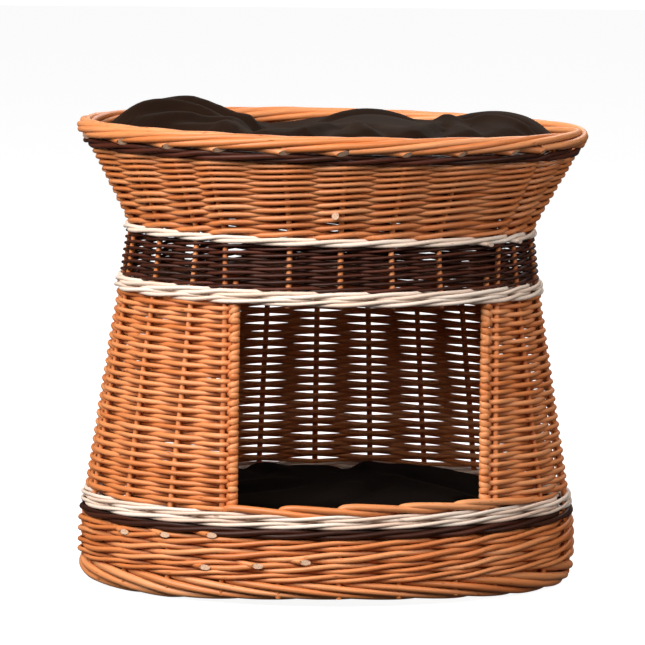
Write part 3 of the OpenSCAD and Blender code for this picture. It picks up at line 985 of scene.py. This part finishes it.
def fibre():
    material, tree, shader = nodes_of("white_fibre")
    place = add(tree, "ShaderNodeTexCoord").outputs["Object"]
    tufts = noise(tree, place, 260, 4, 0.7)
    colour = ramp(tree, tufts, [(0.3, (0.70, 0.69, 0.65)), (0.7, (0.86, 0.85, 0.82))])
    tree.links.new(colour, shader.inputs["Base Color"])
    shader.inputs["Roughness"].default_value = 0.95
    bump = add(tree, "ShaderNodeBump")
    bump.inputs["Strength"].default_value = 0.6
    bump.inputs["Distance"].default_value = 0.001
    tree.links.new(tufts, bump.inputs["Height"])
    tree.links.new(bump.outputs["Normal"], shader.inputs["Normal"])
    return material


FIBRE = fibre()


# ---------------------------------------------------------------- camera, floor and light
def aim(thing, place, target, roll=0.0):
    thing.location = place
    look = Vector(target) - Vector(place)
    turn = look.to_track_quat("-Z", "Y").to_matrix().to_4x4()
    spin = Euler((0, 0, roll)).to_matrix().to_4x4()
    thing.rotation_euler = (turn @ spin).to_euler()


def camera():
    data = bpy.data.cameras.new("camera")
    data.lens = 288.4
    data.sensor_width = 36
    data.clip_end = 50
    view = bpy.data.objects.new("camera", data)
    bpy.context.scene.collection.objects.link(view)
    aim(view, (0, -5.6, 0.915), (-0.0055, 0, 0.2803), math.radians(0.4))
    bpy.context.scene.camera = view


def light(name, place, target, size, power):
    data = bpy.data.lights.new(name, "AREA")
    data.shape = "RECTANGLE"
    data.size, data.size_y = size
    data.energy = power
    lamp = bpy.data.objects.new(name, data)
    bpy.context.scene.collection.objects.link(lamp)
    aim(lamp, place, target)


def studio():
    mesh = bpy.data.meshes.new("floor")
    mesh.from_pydata([(-8, -8, 0), (8, -8, 0), (8, 12, 0), (-8, 12, 0)], [], [(0, 1, 2, 3)])
    floor = bpy.data.objects.new("studio_floor", mesh)
    bpy.context.scene.collection.objects.link(floor)
    material, tree, shader = nodes_of("studio_floor")
    shader.inputs["Base Color"].default_value = (0.4, 0.4, 0.4, 1)
    shader.inputs["Roughness"].default_value = 0.9
    shader.inputs["Emission Color"].default_value = (1, 1, 1, 1)
    # It glows for the camera, except in an oval under the basket where the glow is taken away: a painted
    # shadow under the basket, which shows through the gaps in the base
    position = add(tree, "ShaderNodeNewGeometry").outputs["Position"]
    side_x, side_y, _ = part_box("base_wale")[1]
    painted_shadow_oval = (1 / (side_x - 0.06), 1 / (side_y - 0.11), 0)
    reach = add(tree, "ShaderNodeVectorMath", operation="LENGTH")
    tree.links.new(mapped(tree, position, painted_shadow_oval), reach.inputs[0])
    glow = add(tree, "ShaderNodeMapRange")
    glow.inputs["From Min"].default_value = 0.96
    glow.inputs["To Max"].default_value = 0.92
    tree.links.new(reach.outputs["Value"], glow.inputs["Value"])
    tree.links.new(glow.outputs["Result"], shader.inputs["Emission Strength"])
    mesh.materials.append(material)
    floor.location.z = -0.0002
    floor.visible_diffuse = floor.visible_glossy = False
    world = bpy.data.worlds.new("studio")
    bpy.context.scene.world = world
    world.use_nodes = True
    tree = world.node_tree
    sky = tree.nodes["Background"]
    sky.inputs["Color"].default_value = (1, 1, 1, 1)
    rays = add(tree, "ShaderNodeLightPath")
    strength = add(tree, "ShaderNodeMapRange")
    strength.inputs["To Min"].default_value = 0.07
    strength.inputs["To Max"].default_value = 1.05
    tree.links.new(rays.outputs["Is Camera Ray"], strength.inputs["Value"])
    tree.links.new(strength.outputs["Result"], sky.inputs["Strength"])
    light("key", (-2.3, -1.9, 2.5), (0, 0, 0.28), (2.4, 2.4), 204)
    light("front", (-0.2, -2.7, 2.7), (0, 0, 0.25), (2.6, 1.6), 66)
    light("fill", (2.4, -1.7, 1.9), (0, 0, 0.25), (2.0, 2.0), 46)
    light("back", (0.6, 2.8, 2.4), (0, 0, 0.25), (2.4, 1.6), 45)
    bpy.context.scene.view_settings.view_transform = "Standard"


camera()
studio()
foot_border()
base_wale()
ring_band("base_dark_rods", "base_dark_band", "dark_willow", DARK, Z_WALE, Z_BASE_DARK, 1, 0.0022)
ring_band("base_white_rods", "base_white_band", "white_willow", WHITE, Z_BASE_DARK, Z_BASE_WHITE, 2,
          0.0020, 0.0021)
stakes()
jamb_posts()
den_wall()
sill_border()
ring_band("lintel_white_rods", "lintel_white_band", "white_willow", WHITE, Z_DEN, Z_LINTEL, 2,
          0.0028, 0.0023)
plain_band("waist_dark_rods", "waist_dark_band", "dark_willow", DARK, Z_LINTEL, Z_WAIST, 14,
           (0.0018, 0.0017), 0.5)
ring_band("upper_white_rods", "upper_white_band", "white_willow", WHITE, Z_WAIST, Z_UPPER_WHITE, 1,
          0.0022, 0.0023, ((0.165, 0.3790), (0.196, 0.3795)))
plain_band("bed_wall_rods", "bed_wall", "buff_willow", BUFF, Z_UPPER_WHITE, Z_BED, 22,
           (0.0031, 0.0021), 0.5, 0.27)
ring_band("rim_dark_rods", "rim_dark_band", "dark_willow", DARK, Z_BED, Z_RIM_DARK, 1, 0.0015)
rim_border()
floors()
cushions()
